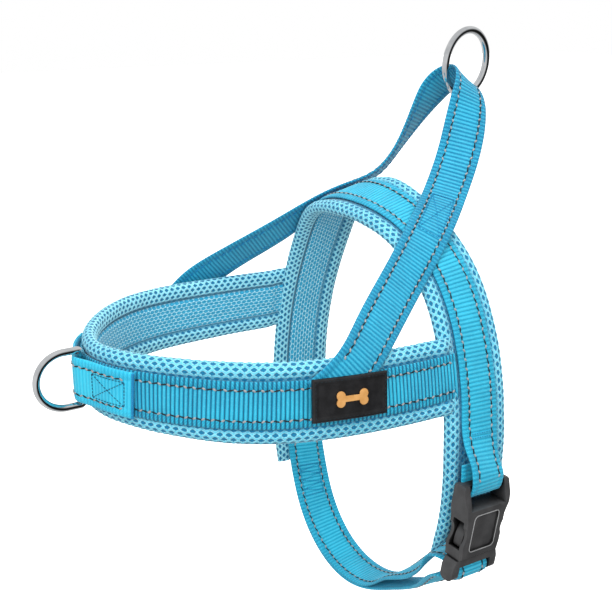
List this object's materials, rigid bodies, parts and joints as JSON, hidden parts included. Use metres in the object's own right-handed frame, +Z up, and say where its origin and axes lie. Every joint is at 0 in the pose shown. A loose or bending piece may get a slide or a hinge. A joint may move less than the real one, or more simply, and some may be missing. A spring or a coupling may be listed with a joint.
{
  "type": "dog harness",
  "caption": "Padded webbing dog harness with chest band, girth band, top strap, side release buckle and front and back leash rings.",
  "frame": {"origin": "middle of the torso opening, level with the chest band, on the harness's plane of symmetry", "axes": "+X towards the dog's tail, -Y the dog's left side, which carries the buckle, +Z up"},
  "size_m": [0.3022, 0.2124, 0.3627],
  "materials": {
    "webbing": "woven, ribbed",
    "mesh": "knitted spacer mesh",
    "foam": "soft",
    "rings": "polished",
    "buckle": "matte moulded",
    "label": "matte",
    "emblem": "matte"
  },
  "bodies": {
    "harness": {"belly_strap": "webbing", "belly_strap_return": "webbing", "buckle_socket": "buckle", "chest_pad_cover": "mesh", "chest_pad_foam": "foam", "chest_pad_lining": "mesh", "chest_ring_tab": "webbing", "chest_webbing": "webbing", "girth_pad_cover": "mesh", "girth_pad_foam": "foam", "girth_pad_lining": "mesh", "girth_webbing": "webbing", "handle_strap": "webbing", "label_emblem": "emblem", "label_patch": "label", "socket_strap_loop": "webbing"},
    "leash_ring": {"leash_ring": "rings"},
    "chest_ring": {"chest_ring": "rings"},
    "plug": {"buckle_plug": "buckle", "plug_strap_loop": "webbing"},
    "prong_front": {"buckle_prong_front": "buckle"},
    "prong_rear": {"buckle_prong_rear": "buckle"}
  },
  "joints": [
    {"name": "leash_ring_swing", "type": "hinge", "parent": "harness", "child": "leash_ring", "pos_m": [0.06436, 0.00032, 0.13785], "axis": [0.9833, 0.1822, 0], "range_deg": [-60, 12]},
    {"name": "chest_ring_swing", "type": "hinge", "parent": "harness", "child": "chest_ring", "pos_m": [-0.1895, 0, 0.004], "axis": [0, 0, 1], "range_deg": [-80, 80]},
    {"name": "plug_slide", "type": "slide", "parent": "harness", "child": "plug", "axis": [-0.108, 0.075, -0.9913], "range_m": [0, 0.03]},
    {"name": "prong_front_squeeze", "type": "hinge", "parent": "plug", "child": "prong_front", "pos_m": [-0.01328, -0.10498, -0.10585], "axis": [-0.1076, 0.9904, 0.0866], "range_deg": [-6.5, 6], "stiffness_Nm_per_rad": 0.05},
    {"name": "prong_rear_squeeze", "type": "hinge", "parent": "plug", "child": "prong_rear", "pos_m": [0.00628, -0.10268, -0.10781], "axis": [0.1076, -0.9904, -0.0866], "range_deg": [-6.5, 6], "stiffness_Nm_per_rad": 0.05}
  ]
}
